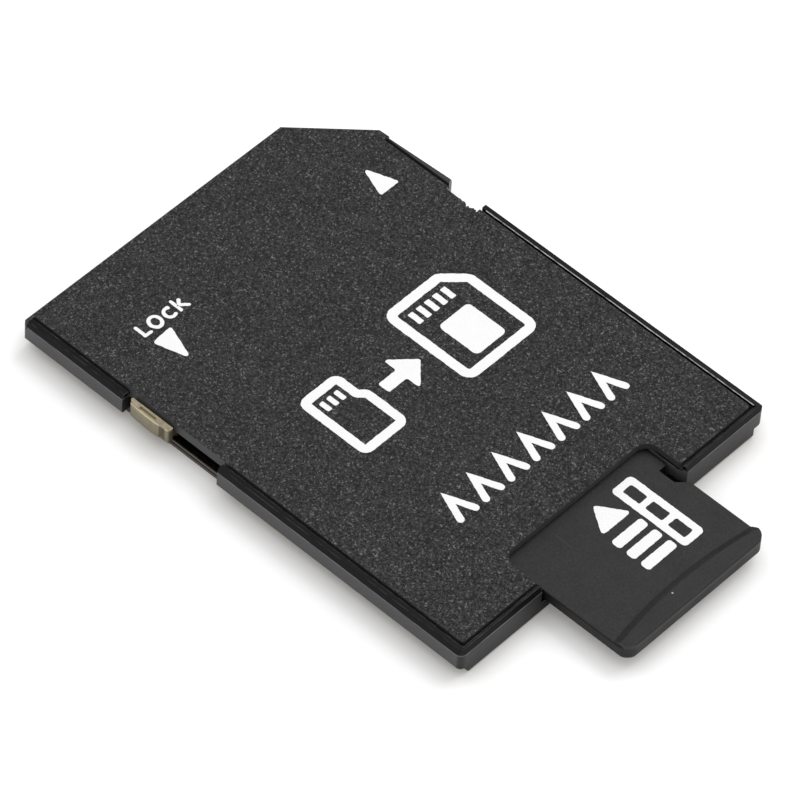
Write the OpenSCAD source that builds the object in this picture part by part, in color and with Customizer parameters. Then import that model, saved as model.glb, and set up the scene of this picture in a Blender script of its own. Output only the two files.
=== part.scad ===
// Full-size memory card adapter with a small card pushed part of the way in.
// Millimetres. The origin is the middle of the adapter's underside, +Y points to
// the contact edge, +X to the slanted corner and +Z out of the label side.

/* [Adapter body] */
// Width of the adapter
body_w = 24; // [23.5:0.25:26]
// Length of the adapter
body_l = 32; // [31:0.5:36]
// Thickness of the adapter
body_h = 2.1; // [2.05:0.05:2.5]
// Leg of the slanted leading corner
corner_cut = 4; // [3.4:0.1:4.4]
// Radius of the upright corners
corner_r = 0.4; // [0.1:0.05:0.6]
// Radius of the leading corner on the lock's side
lead_r = 0.25; // [0.1:0.05:0.5]
// Radius along the leading top edges
edge_r = 0.12; // [0.05:0.01:0.2]
// Width of the bevel along the rims
bevel_w = 0.17; // [0.1:0.01:0.22]
// Height of that bevel
bevel_h = 0.32; // [0.2:0.01:0.4]
// Radius along the lower edge of the right rail
right_low_r = 0.4; // [0.1:0.05:0.5]
// Radius along the lower edges of the two ends
low_edge_r = 0.2; // [0.05:0.05:0.3]
// Thickness of the side rails
rail_t = 1.4; // [1.3:0.05:1.5]
// How far the lower body is set in under each rail
step_w = 0.75; // [0.6:0.05:0.9]
// Inward taper of the right side ahead of its notch
side_taper = 0.25; // [0:0.05:0.4]
// Thickness of the floor
floor_t = 0.45; // [0.35:0.05:0.55]
// Thickness of the side walls above the set-in
wall_t = 0.65; // [0.5:0.05:0.8]
// Thickness of the walls at the two ends
end_t = 0.6; // [0.5:0.05:0.8]

/* [Cover] */
// Width of the rim beside the cover
rim_w = 0.45; // [0.25:0.05:0.5]
// Width of the groove along the cover's sides
groove_w = 0.2; // [0.15:0.05:0.35]
// Width of the rim behind the cover
end_rim_w = 0.3; // [0.2:0.05:0.4]
// Width of the groove behind the cover
end_groove_w = 0.2; // [0.1:0.05:0.3]
// Thickness of the hidden flange under the groove
flange_t = 0.1; // [0.05:0.05:0.15]
// Length of the full-width band at the leading edge
front_land = 0.3; // [0.2:0.05:1]
// Length of the full-width band behind the slanted corner
side_land = 0.75; // [0.4:0.05:1.2]
// Depth of the cut-out for the small card, from the trailing end
cut_l = 2.92; // [2.6:0.02:4]
// Gap between the small card and each side of the cut-out
cut_gap = 0.2; // [0.15:0.05:0.3]
// Radius of the cut-out's inner corners
cut_r = 0.8; // [0.3:0.1:1]
// Radius of the pegs under the cover
peg_r = 0.5; // [0.4:0.05:0.6]
// Length of the pegs under the cover
peg_l = 0.9; // [0.7:0.05:1]
// Distance of the rear pegs from the trailing end
peg_end = 4; // [3.5:0.1:5]
// Distance of the front pegs behind the small card's stop
peg_stop = 2.2; // [1.8:0.1:3]
// Radius of the ejector marks in the underside
pin_r = 0.8; // [0.6:0.05:1]
// Depth of those marks
pin_d = 0.04; // [0.02:0.01:0.06]

/* [Right notch] */
// Distance of the notch from the leading edge
notch_front = 9.2; // [8.8:0.1:10]
// Length of the notch
notch_l = 2.65; // [2.2:0.05:3]
// Depth of the notch
notch_d = 0.85; // [0.6:0.05:0.95]
// Slant of the notch's leading wall
notch_slant = 0.35; // [0:0.05:0.5]

/* [Lock] */
// Distance of the lock's slot from the leading edge
lock_front = 7.45; // [7:0.05:8]
// Length of the lock's slot
lock_l = 7; // [6:0.1:8]
// Height of the ridge that the slider rides behind
ridge_z = 0.52; // [0.45:0.01:0.6]
// Width of that ridge
ridge_w = 0.25; // [0.2:0.05:0.3]
// Thickness of the floor under the slider's foot
foot_floor = 0.3; // [0.25:0.01:0.35]
// Length of the slider
slider_l = 3; // [2.4:0.05:3.4]
// Thickness of the slider's outer block
slider_w = 0.43; // [0.35:0.01:0.45]
// How far the slider's top lies under the adapter's top
slider_drop = 0.13; // [0.05:0.01:0.3]
// Height of the slider's lower edge over the rails' underside
slider_low = 0.25; // [0.05:0.05:0.3]
// Width of the bevel along the slider's outer edge
slider_bevel_w = 0.05; // [0.03:0.01:0.1]
// Height of that bevel
slider_bevel_h = 0.06; // [0.04:0.01:0.1]
// Bulge of the slider's outer face
slider_bulge = 0.12; // [0.05:0.01:0.2]
// Free way ahead of the slider as it stands now
slider_ahead = 0.37; // [0.3:0.01:0.5]
// Length of the dimple in the slider's top
dimple_l = 1.2; // [0.8:0.1:1.4]
// Depth of that dimple
dimple_d = 0.12; // [0.05:0.01:0.2]
// Step in the slider's leading corner, along and across
slider_step = 0.16; // [0.1:0.01:0.2]
// Running gap round the slider
slider_gap = 0.05; // [0.03:0.01:0.08]

/* [Small card] */
// Width of the small card
card_w = 11; // [10.6:0.1:11.4]
// Length of the small card
card_l = 15; // [14.5:0.1:15.4]
// Thickness of the small card
card_t = 0.7; // [0.6:0.05:0.75]
// How far the small card stands out of the adapter now
card_out = 5.87; // [0.2:0.01:8]
// Width of its narrow contact end
nose_w = 9.7; // [9.4:0.1:9.9]
// Distance from the contact end to the full width
nose_l = 6.4; // [6:0.1:6.6]
// Distance from the contact end to the side notch
card_notch_y = 7.9; // [7.6:0.1:8.2]
// Length of the side notch
card_notch_l = 1.74; // [1.5:0.02:2]
// Depth of the side notch
card_notch_d = 0.65; // [0.5:0.05:0.8]
// Radius of the small card's corners
card_r = 0.8; // [0.4:0.1:1]
// Height of the finger lip over the label face
lip_h = 0.3; // [0.2:0.05:0.35]
// Length of the lip at the middle of the card
lip_l = 1.62; // [1.3:0.02:2]
// Radius of the lip's curved boundary
lip_r = 30; // [25:1:40]
// Length of the slope up to the lip
lip_ramp = 0.45; // [0.2:0.05:0.6]
// Bevel round the contact end
nose_bevel = 0.2; // [0.1:0.05:0.25]
// Radius along the small card's long edges
card_edge_r = 0.1; // [0.05:0.01:0.15]
// Gap between the small card and each guide
guide_gap = 0.1; // [0.05:0.01:0.15]
// Gap under and over the small card
slide_gap = 0.05; // [0.03:0.01:0.08]
// Width of each guide beside the small card
guide_w = 0.7; // [0.5:0.05:1]
// Flare of the slot at its mouth
mouth_flare = 0.15; // [0.05:0.05:0.25]

/* [Contacts] */
// Height of the contact pads over the underside
pad_depth = 0.7; // [0.6:0.05:0.75]
// Thickness of the contact metal
metal_t = 0.15; // [0.1:0.01:0.15]
// Width of the wall between the first window and the side wall
first_wall = 0.375; // [0.25:0.025:0.5]
// Distance of the last pad's middle from the left side
last_pad_edge = 2.25; // [2.15:0.025:2.4]
// Spacing from the last wide pad to the first narrow pad
narrow_step = 2.425; // [2.35:0.005:2.5]
// Spacing of the two narrow pads
narrow_pitch = 1.7; // [1.65:0.01:1.75]
// Width of the walls between the windows over the wide pads
window_wall = 0.8; // [0.7:0.05:0.95]
// Width of the windows over the narrow pads
narrow_w = 1.1; // [1:0.05:1.2]
// How far each pad laps under the edge of its window
pad_lap = 0.1; // [0.05:0.01:0.15]
// Length of the pads
pad_l = 4; // [3.6:0.1:4.2]
// Distance of the pads from the leading edge
pad_front = 1.1; // [0.9:0.05:1.3]
// How much further back the first pad lies
first_pad_back = 2.3; // [2.1:0.05:2.5]
// Width of the strips behind the pads
strip_w = 0.6; // [0.5:0.02:0.7]
// Width of the spring fingers
finger_w = 0.5; // [0.4:0.02:0.6]
// Distance of the finger's crest behind the small card's contact end, when it is home
crest_in = 2; // [1.6:0.1:2.4]
// Length of the finger's free end past its crest
finger_tail = 0.7; // [0.5:0.05:0.9]
// Sag of the pressed finger
finger_sag = 0.14; // [0.08:0.01:0.16]
// Radius of the finger's crest
crest_r = 1.65; // [1.4:0.05:2]
// Gap between the pressed fingers and the small card
finger_clear = 0.03; // [0.02:0.01:0.05]
// How far each finger runs back into its strip
root_lap = 0.4; // [0.3:0.05:0.6]
// Share of the room behind the first pad that each finger's arm takes
arm_share = 0.41; // [0.3:0.01:0.45]
// Share of that room that each straight end of a strip takes
straight_share = 0.07; // [0.04:0.01:0.1]
// Gap under the ground contact's bridge
bridge_gap = 0.25; // [0.15:0.05:0.35]
// Width of the carrier's frame round its openings
frame_w = 1; // [0.8:0.1:1.3]
// Spacing of the small card's pads
card_pitch = 1.1; // [1.05:0.01:1.12]
// Width of the small card's pads
card_pad_w = 0.8; // [0.6:0.05:0.9]
// Length of the small card's pads
card_pad_l = 2.9; // [2.6:0.1:3]
// Distance of the small card's pads from its contact end
card_pad_in = 0.52; // [0.45:0.01:0.6]
// Thickness of the small card's pads
card_pad_t = 0.08; // [0.06:0.01:0.1]
// How deep the small card's pads lie in its underside
card_pad_sink = 0.02; // [0.01:0.01:0.03]

/* [Hidden] */

$fn = 48;
// Points on each rounded corner of an outline
arc_steps = 6;
// How far cutting shapes run past the surface they cut
over = 0.5;

shell_colour = [0.17, 0.17, 0.175];
cover_colour = [0.14, 0.14, 0.145];
carrier_colour = [0.1, 0.1, 0.1];
slider_colour = [0.62, 0.58, 0.46];
metal_colour = [0.8, 0.65, 0.3];
card_colour = [0.12, 0.12, 0.125];

hw = body_w / 2;
hl = body_l / 2;
card_hw = card_w / 2;

// Heights of the layers, from the underside up
rail_z = body_h - rail_t;
strip_z = pad_depth + metal_t;
card_z = strip_z + slide_gap;
card_top = card_z + card_t;
cover_z = card_top + slide_gap;

// Places along the adapter
notch_y1 = hl - notch_front;
notch_y0 = notch_y1 - notch_l;
lock_y1 = hl - lock_front;
lock_y0 = lock_y1 - lock_l;
left_land_y = hl - front_land;
right_land_y = hl - corner_cut - side_land;
pad_y1 = hl - pad_front;
pad_y0 = pad_y1 - pad_l;
stop_y = card_l - hl + 2 * slide_gap;
crest_y = stop_y - crest_in;
strip_room = pad_y0 - first_pad_back - stop_y;
root_y = stop_y + arm_share * strip_room;
straight = straight_share * strip_room;
card_y1 = -hl - card_out + card_l;

// Places across the adapter
cav_x = hw - step_w - wall_t;
rim_x = hw - rim_w;
cover_x = rim_x - groove_w;
guide_x = card_hw + guide_gap;
guide_out = guide_x + guide_w;
peg_x = (guide_out + cav_x) / 2;
peg_gap = 0.05;
boss_r = peg_r + 0.6;
peg_places = [for (s = [-1, 1]) for (y = [-hl + peg_end, stop_y - peg_stop]) [s * peg_x, y]];
pin_places = concat(peg_places, [for (s = [-1, 1]) [s * peg_x, root_y]]);

// The right side's place, which tapers in ahead of its notch
function side_x(y) = hw - side_taper * max(0, y - notch_y1) / (hl - corner_cut - notch_y1);

// Rounds the corner of an outline at b, between a and c
function unit(v) = v / norm(v);
function corner(a, b, c, r) =
    r <= 0 ? [b] :
    let (
        u = unit(a - b),
        v = unit(c - b),
        half = acos(u * v) / 2,
        centre = b + unit(u + v) * r / sin(half),
        p0 = b + u * r / tan(half),
        p1 = b + v * r / tan(half),
        a0 = atan2(p0.y - centre.y, p0.x - centre.x),
        a1 = atan2(p1.y - centre.y, p1.x - centre.x),
        turn = (a1 - a0 + 540) % 360 - 180
    )
    [for (i = [0:arc_steps]) centre + r * [cos(a0 + turn * i / arc_steps), sin(a0 + turn * i / arc_steps)]];

// An outline from points [x, y, corner radius], counted anticlockwise
function rounded(pts) = [
    for (i = [0:len(pts) - 1])
        let (
            n = len(pts),
            p = pts[(i + n - 1) % n],
            q = pts[i],
            s = pts[(i + 1) % n]
        )
        each corner([p.x, p.y], [q.x, q.y], [s.x, s.y], q.z)
];

body_outline = rounded([
    [-hw, -hl, corner_r],
    [hw, -hl, corner_r],
    [hw, notch_y1, 0],
    [hw - side_taper, hl - corner_cut, corner_r],
    [hw - corner_cut, hl, corner_r],
    [-hw, hl, lead_r]
]);

// Inside of the walls, with the slanted corner's wall as thick as the end wall
slant_in = end_t * sqrt(2);
function cavity(gap) = [
    [-cav_x + gap, -hl + end_t + gap],
    [cav_x - gap, -hl + end_t + gap],
    [cav_x - gap, body_w / 2 + hl - corner_cut - slant_in - cav_x],
    [hw + hl - corner_cut - slant_in - (hl - end_t), hl - end_t - gap],
    [-cav_x + gap, hl - end_t - gap]
];

// Torn plastic on the floor of the right notch, as [way along, depth] from its trailing end
tear = [
    [0, 0.1], [0.12, -0.02], [0.2, 0.03], [0.28, -0.03], [0.4, 0.08], [0.5, 0.13], [0.58, 0.06],
    [0.68, 0.18], [0.8, 0.05], [0.95, -0.02], [1.1, 0.04], [1.25, -0.02], [1.4, 0.02], [1.7, 0]
];
notch_floor = hw - notch_d;

// A straight edge from p to q, with the outside on its right, is rounded at height z
module round_edge(p, q, z, r, top = true) {
    run = norm(q - p);
    translate([p.x, p.y, z])
        rotate([0, 0, atan2(q.y - p.y, q.x - p.x)])
            translate([-over, 0, 0])
                rotate([90, 0, 90])
                    linear_extrude(run + 2 * over)
                        difference() {
                            translate([-over, top ? -r : -over])
                                square([r + over, r + over]);
                            translate([r, top ? -r : r])
                                circle(r);
                        }
}

// A straight edge from p to q, with the outside on its right, is bevelled at height z
module bevel_edge(p, q, z, w, h) {
    run = norm(q - p);
    translate([p.x, p.y, z])
        rotate([0, 0, atan2(q.y - p.y, q.x - p.x)])
            translate([-over, 0, 0])
                rotate([90, 0, 90])
                    linear_extrude(run + 2 * over)
                        polygon([
                            [-over, -h - over * h / w],
                            [w + over * w / h, over],
                            [-over, over]
                        ]);
}

module side_cut(s, x, z0, z1) {
    translate([s > 0 ? x : -x - hw, -hl - over, z0])
        cube([hw, body_l + 2 * over, z1 - z0]);
}

// The gap in the right side, right through the adapter
module right_notch() {
    translate([0, 0, -over])
        linear_extrude(body_h + 2 * over)
            polygon(concat(
                [[hw + over, notch_y0]],
                [for (t = tear) [notch_floor - t.y, notch_y0 + t.x]],
                [
                    [notch_floor, notch_y1 - notch_slant],
                    [hw, notch_y1],
                    [hw + over, notch_y1]
                ]
            ));
}

// Contact pads of the adapter, counted from the slanted corner: wide ones, then two narrow ones
wide_pads = 7;
last_wide = wide_pads - 1;
pad_room = body_w - step_w - wall_t - first_wall - last_pad_edge - narrow_step - narrow_pitch;
pad_pitch = (pad_room + window_wall / 2) / (last_wide + 0.5);
window_w = pad_pitch - window_wall;
pad_edge = step_w + wall_t + first_wall + window_w / 2;
function pad_x(i) =
    i < wide_pads ? hw - pad_edge - i * pad_pitch :
    -hw + last_pad_edge + (wide_pads + 1 - i) * narrow_pitch;
function pad_window(i) = i < wide_pads ? window_w : narrow_w;
function pad_shift(i) = i == 0 ? first_pad_back : 0;
// The small card's pads, counted from its stepped side
nose_x = nose_w / 2 - card_hw;
function finger_x(k) = nose_x + (3.5 - k) * card_pitch;
// Which of the adapter's pads each of the small card's pads goes to
pad_of = [0, 1, 2, 4, 5, 6, 7, 8];
second_ground = 3;
// The line between the first pad's shelf and the others'
shelf_x = (pad_x(0) + pad_x(1)) / 2;

module pad_windows() {
    for (i = [0:8])
        translate([
            pad_x(i) - pad_window(i) / 2,
            pad_y0 - pad_shift(i) + pad_lap,
            -over
        ])
            cube([pad_window(i), body_l, pad_depth + over]);
}

// The tray: floor, walls, rims and the guides for what lies in it
module lower_shell() {
    color(shell_colour)
        difference() {
            union() {
                difference() {
                    union() {
                        linear_extrude(cover_z)
                            polygon(body_outline);
                        linear_extrude(body_h)
                            rims();
                    }
                    translate([0, 0, floor_t])
                        linear_extrude(body_h)
                            polygon(cavity(0));
                }
                strip_floor();
                card_guides();
                lock_wall();
                for (p = peg_places)
                    translate([p.x, p.y, 0])
                        cylinder(r = boss_r, h = cover_z);
            }
            for (s = [-1, 1])
                side_cut(s, hw - step_w, -over, rail_z);
            card_mouth();
            lock_slot();
            right_notch();
            pad_windows();
            for (p = peg_places)
                translate([p.x, p.y, cover_z - peg_l - peg_gap])
                    cylinder(r = peg_r + peg_gap, h = body_h);
            for (p = pin_places)
                translate([p.x, p.y, -over])
                    cylinder(r = pin_r, h = over + pin_d);
            bevel_edge([-hw, hl], [-hw, -hl], body_h, bevel_w, bevel_h);
            bevel_edge([-hw, -hl], [hw, -hl], body_h, bevel_w, bevel_h);
            bevel_edge([hw, -hl], [hw, notch_y1], body_h, bevel_w, bevel_h);
            bevel_edge([hw, notch_y1], [hw - side_taper, hl - corner_cut], body_h, bevel_w, bevel_h);
            round_edge([-hw, -hl], [hw, -hl], 0, low_edge_r, false);
            round_edge([hw, hl], [-hw, hl], 0, low_edge_r, false);
            round_edge([-hw, hl], [-hw, -hl], rail_z, edge_r, false);
            round_edge([hw, -hl], [hw, notch_y1], rail_z, right_low_r, false);
        }
}

// Plan of the rims, which end where the cover runs out to the edge
module rims() {
    difference() {
        polygon(body_outline);
        polygon([
            [-rim_x, -hl + end_rim_w],
            [rim_x, -hl + end_rim_w],
            [rim_x, right_land_y],
            [hw + over, right_land_y],
            [hw + over, hl + over],
            [-hw - over, hl + over],
            [-hw - over, left_land_y],
            [-rim_x, left_land_y]
        ]);
    }
}

// The raised floor that carries the strips, and the shelf ahead of the pads
module strip_floor() {
    intersection() {
        linear_extrude(cover_z)
            polygon(cavity(-over / 10));
        union() {
            translate([-hw, root_y, 0])
                cube([body_w, hl - root_y, pad_depth]);
            translate([-hw, pad_y1 + slide_gap, 0])
                cube([hw + shelf_x, hl, strip_z]);
            translate([shelf_x, pad_y1 - first_pad_back + slide_gap, 0])
                cube([hw, hl, strip_z]);
        }
    }
}

// Guides, floor ribs and sill of the small card's pocket
module card_guides() {
    rib_w = 0.8;
    sill_l = 0.5;
    y0 = -hl + end_t;
    for (s = [-1, 1])
        translate([s * (guide_x + guide_w / 2) - guide_w / 2, y0 - over / 5, 0])
            cube([guide_w, stop_y - y0 + over / 5, cover_z]);
    for (k = [-1, 0, 1])
        translate([k * card_hw * 2 / 3 - rib_w / 2, y0 - over / 5, 0])
            cube([rib_w, crest_y - finger_tail - 1 - y0, strip_z]);
    translate([-guide_out, y0 - over / 5, 0])
        cube([2 * guide_out, sill_l + over / 5, strip_z]);
}

// The way through the end wall for the small card
module card_mouth() {
    w = guide_x + mouth_flare;
    translate([0, 0, strip_z])
        linear_extrude(body_h)
            polygon([
                [-w, -hl - over],
                [w, -hl - over],
                [w, -hl],
                [guide_x, -hl + end_t],
                [guide_x, -hl + end_t + over / 5],
                [-guide_x, -hl + end_t + over / 5],
                [-guide_x, -hl + end_t],
                [-w, -hl]
            ]);
}

// Wall between the lock's channel and the inside
lock_wall_t = 0.45;
module lock_wall() {
    translate([-cav_x - over / 10, lock_y0 - end_t, 0])
        cube([lock_wall_t + over / 10, lock_l + 2 * end_t, cover_z]);
}

// The lock's channel, open to the side, with a ridge along its edge
module lock_slot() {
    translate([-hw - over, lock_y0, ridge_z])
        cube([hw + over - cav_x, lock_l, body_h]);
    translate([-hw + step_w + ridge_w, lock_y0, foot_floor])
        cube([hw - step_w - ridge_w - cav_x, lock_l, body_h]);
}

// The plate on the label side
cover_gap = 0.05;
lock_bevel = 0.1;
cover_outline = rounded([
    [-cover_x, -hl + end_rim_w + end_groove_w, 0.2],
    [cover_x, -hl + end_rim_w + end_groove_w, 0.2],
    [cover_x, right_land_y + cover_gap, 0.08],
    [side_x(right_land_y + cover_gap), right_land_y + cover_gap, 0],
    [hw - side_taper, hl - corner_cut, corner_r],
    [hw - corner_cut, hl, corner_r],
    [-hw, hl, lead_r],
    [-hw, left_land_y + cover_gap, 0],
    [-cover_x, left_land_y + cover_gap, 0.08]
]);
flange_x = rim_x - cover_gap;
flange_outline = [
    [-flange_x, -hl + end_rim_w + cover_gap],
    [flange_x, -hl + end_rim_w + cover_gap],
    [flange_x, right_land_y + 2 * cover_gap],
    [0, right_land_y + 2 * cover_gap],
    [0, left_land_y + 2 * cover_gap],
    [-flange_x, left_land_y + 2 * cover_gap]
];
cut_x = card_hw + cut_gap;
cut_outline = rounded([
    [-cut_x, -hl - over, 0],
    [cut_x, -hl - over, 0],
    [cut_x, -hl + cut_l, cut_r],
    [-cut_x, -hl + cut_l, cut_r]
]);

module upper_cover() {
    color(cover_colour)
        difference() {
            union() {
                difference() {
                    union() {
                        translate([0, 0, cover_z])
                            linear_extrude(body_h - cover_z)
                                polygon(cover_outline);
                        translate([0, 0, cover_z])
                            linear_extrude(flange_t)
                                polygon(flange_outline);
                    }
                    translate([-hw - over, lock_y0, 0])
                        cube([hw + over - cover_x, lock_l, body_h + over]);
                }
                lock_edge();
                for (p = peg_places)
                    translate([p.x, p.y, cover_z - peg_l])
                        cylinder(r = peg_r, h = peg_l + (body_h - cover_z) / 2);
            }
            translate([0, 0, -over])
                linear_extrude(body_h + 2 * over)
                    polygon(cut_outline);
            right_notch();
            round_edge([hw, hl], [-hw, hl], body_h, edge_r);
            round_edge([hw - side_taper, hl - corner_cut], [hw - corner_cut, hl], body_h, edge_r);
            round_edge([hw, notch_y1], [hw - side_taper, hl - corner_cut], body_h, edge_r);
            bevel_edge([-hw, hl], [-hw, left_land_y], body_h, bevel_w, bevel_h);
        }
}

// The bevelled edge of the cover along the lock's slot
module lock_edge() {
    translate([0, lock_y1, 0])
        rotate([90, 0, 0])
            linear_extrude(lock_l)
                polygon([
                    [-cover_x + over, cover_z],
                    [-cover_x - lock_bevel, cover_z],
                    [-cover_x - lock_bevel, cover_z + flange_t / 2],
                    [-cover_x, body_h],
                    [-cover_x + over, body_h]
                ]);
}

// Sliding lock: an outer block, a web under the cover and a foot behind the ridge
slider_y1 = lock_y1 - slider_ahead;
slider_y0 = slider_y1 - slider_l;
slider_in = -hw + slider_w;
slider_top = body_h - slider_drop;
foot_x0 = -hw + step_w + ridge_w + slider_gap;
foot_x1 = -cav_x - slider_gap;

module lock_slider() {
    mid_y = (slider_y0 + slider_y1) / 2;
    bulge_r = slider_l * slider_l / (8 * slider_bulge) + slider_bulge / 2;
    web_in = slider_l / 8;
    groove_r = 0.2;
    groove_top = 0.15;
    color(slider_colour)
        difference() {
            union() {
                intersection() {
                    translate([0, 0, rail_z + slider_low])
                        linear_extrude(slider_top - rail_z - slider_low)
                            polygon(rounded([
                                [-hw, slider_y0, 0.18],
                                [slider_in, slider_y0, 0.06],
                                [slider_in, slider_y1, 0.06],
                                [slider_in - slider_step, slider_y1, 0.06],
                                [slider_in - slider_step, slider_y1 - slider_step, 0.05],
                                [-hw, slider_y1 - slider_step, 0.12]
                            ]));
                    translate([-hw + bulge_r, mid_y, 0])
                        cylinder(r = bulge_r, h = body_h, $fn = 96);
                }
                translate([slider_in - slider_w / 4, slider_y0 + web_in, ridge_z + slider_gap])
                    cube([
                        foot_x1 - slider_in + slider_w / 4,
                        slider_l - 2 * web_in,
                        cover_z - ridge_z - 2 * slider_gap
                    ]);
                translate([foot_x0, slider_y0 + web_in, foot_floor + slider_gap])
                    cube([
                        foot_x1 - foot_x0,
                        slider_l - 2 * web_in,
                        ridge_z - foot_floor + slider_gap
                    ]);
            }
            translate([-hw + slider_w * 0.32, mid_y - dimple_l / 3, slider_top - dimple_d])
                linear_extrude(over)
                    polygon(rounded([
                        [0, 0, 0.06],
                        [slider_w * 0.46, 0, 0.06],
                        [slider_w * 0.46, dimple_l, 0.06],
                        [0, dimple_l, 0.06]
                    ]));
            translate([-hw + groove_r / 6, slider_y0 + slider_l / 6, 0])
                cylinder(r = groove_r, h = slider_top - groove_top);
            bevel_edge(
                [-hw, slider_y1], [-hw, slider_y0], slider_top, slider_bevel_w, slider_bevel_h);
        }
}

// Insulating frame that holds the strips down on the floor
bar_y0 = pad_y0 + pad_l / 4;
bar_l = pad_l / 5;
bar_z = strip_z + bridge_gap;
bar_x0 = pad_x(last_wide) + window_w / 2 + pad_lap;
bar_x1 = pad_x(second_ground) - window_w / 2 - pad_lap;

module contact_carrier() {
    gap = 0.1;
    lock_clear = -cav_x + lock_wall_t + gap;
    color(carrier_colour)
        difference() {
            translate([0, 0, strip_z])
                linear_extrude(cover_z - strip_z)
                    difference() {
                        polygon(cavity(gap));
                        translate([-hw, -body_l])
                            square([body_w, body_l + stop_y]);
                        translate([-hw, -body_l])
                            square([hw + lock_clear, body_l + lock_y1 + end_t + gap]);
                        carrier_openings();
                    }
            // Seat of the ground contact's bridge
            translate([bar_x0 - metal_t - gap, bar_y0 - gap, bar_z - gap / 2])
                cube([bar_x1 - bar_x0 + 2 * metal_t + 2 * gap, bar_l + 2 * gap, body_h]);
            for (x = [bar_x0 - metal_t, bar_x1])
                translate([x - gap, bar_y0 - gap, 0])
                    cube([metal_t + 2 * gap, bar_l + 2 * gap, body_h]);
        }
}

// Two openings over the slanted runs of the strips, and the cleared rear corners
module carrier_openings() {
    y0 = root_y + frame_w;
    y1 = pad_y0 - first_pad_back;
    w = cav_x - 2 * frame_w;
    for (s = [-1, 1])
        translate([s * (w + frame_w) / 2 - w / 2, y0])
            square([w, y1 - y0]);
    for (s = [-1, 1])
        translate([s * (guide_out + hw / 2) - hw / 2, stop_y - over])
            square([hw, root_y - stop_y]);
}

// Height of the middle of a finger at y: it sags from its root and rises to its crest
crest_z = card_z - finger_clear - metal_t / 2;
function finger_mid(y) =
    let (
        low = pad_depth + metal_t / 2,
        u = (root_y - y) / (root_y - crest_y)
    )
    u < 0 ? low :
    u <= 1 ? low + (crest_z - low) * u - finger_sag * sin(180 * u) :
    crest_z - pow(crest_y - y, 2) / (2 * crest_r);

finger_steps = 24;
finger_start = root_y + root_lap;
finger_len = finger_start - crest_y + finger_tail;
function finger_line(side) = [
    for (i = [0:finger_steps])
        let (y = finger_start - finger_len * i / finger_steps)
        [y, finger_mid(y) + side * metal_t / 2]
];
function backwards(pts) = [for (i = [len(pts) - 1:-1:0]) pts[i]];

module finger(x) {
    translate([x - finger_w / 2, 0, 0])
        rotate([90, 0, 90])
            linear_extrude(finger_w)
                polygon(concat(finger_line(1), backwards(finger_line(-1))));
}

module pad_plate(i) {
    w = pad_window(i) + 2 * pad_lap;
    translate([pad_x(i) - w / 2, pad_y0 - pad_shift(i), pad_depth])
        cube([w, pad_l, metal_t]);
}

// A stamped strip from the small card's pad k to the adapter's pad i
module contact(k) {
    i = pad_of[k];
    p = pad_x(i);
    f = finger_x(k);
    w = strip_w / 2;
    pad_edge_y = pad_y0 - pad_shift(i);
    bend_out = pad_edge_y - straight;
    bend_in = root_y + straight;
    color(metal_colour) {
        pad_plate(i);
        translate([0, 0, pad_depth])
            linear_extrude(metal_t)
                polygon([
                    [p - w, pad_edge_y + strip_w],
                    [p - w, bend_out],
                    [f - w, bend_in],
                    [f - w, root_y + pad_lap],
                    [f + w, root_y + pad_lap],
                    [f + w, bend_in],
                    [p + w, bend_out],
                    [p + w, pad_edge_y + strip_w]
                ]);
        finger(f);
    }
}

// The ground contact also reaches the fourth pad, over a bridge folded across two others
module contact_ground() {
    contact(5);
    color(metal_colour) {
        pad_plate(second_ground);
        translate([bar_x0 - metal_t, bar_y0, bar_z])
            cube([bar_x1 - bar_x0 + 2 * metal_t, bar_l, metal_t]);
        for (x = [bar_x0 - metal_t, bar_x1])
            translate([x, bar_y0, pad_depth])
                cube([metal_t, bar_l, bar_z + metal_t - pad_depth]);
    }
}

// Outline of the small card, which steps in to its narrow contact end on the right
card_y0 = card_y1 - card_l;
step_x = nose_w - card_hw;
card_notch_y1 = card_y1 - card_notch_y;
card_notch_y0 = card_notch_y1 - card_notch_l;
card_outline = rounded([
    [-card_hw, card_y0, card_r],
    [card_hw, card_y0, card_r],
    [card_hw, card_notch_y0, 0.15],
    [card_hw - card_notch_d, card_notch_y0 + card_notch_d, 0.15],
    [card_hw - card_notch_d, card_notch_y1, 0.05],
    [card_hw, card_notch_y1, 0.15],
    [card_hw, card_y1 - nose_l, 0.3],
    [step_x, card_y1 - nose_l + card_hw - step_x, 0.3],
    [step_x, card_y1, card_r],
    [-card_hw, card_y1, card_r]
]);

module card_body() {
    color(card_colour)
        difference() {
            union() {
                translate([0, 0, card_z])
                    linear_extrude(card_t)
                        polygon(card_outline);
                intersection() {
                    translate([0, 0, card_z])
                        linear_extrude(card_t + lip_h)
                            polygon(card_outline);
                    translate([0, card_y0 + lip_l - lip_r, card_top - over / 5])
                        cylinder(
                            r1 = lip_r + lip_ramp * over / 5 / lip_h,
                            r2 = lip_r - lip_ramp,
                            h = lip_h + over / 5,
                            $fn = 200
                        );
                }
            }
            for (k = [0:7])
                card_pad_space(k, card_z - over, over + card_pad_sink + card_pad_t);
            round_edge([-card_hw, card_y1], [-card_hw, card_y0], card_top, card_edge_r);
            round_edge([card_hw, card_y0 + lip_l], [card_hw, card_y1], card_top, card_edge_r);
            round_edge([-card_hw, card_y1], [-card_hw, card_y0], card_z, card_edge_r, false);
            round_edge([card_hw, card_y0], [card_hw, card_y1], card_z, card_edge_r, false);
            round_edge([-card_hw, card_y0], [card_hw, card_y0], card_top + lip_h, card_edge_r * 1.5);
            round_edge([-card_hw, card_y0], [card_hw, card_y0], card_z, card_edge_r, false);
            for (top = [false, true])
                nose_cut(top);
        }
}

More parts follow.
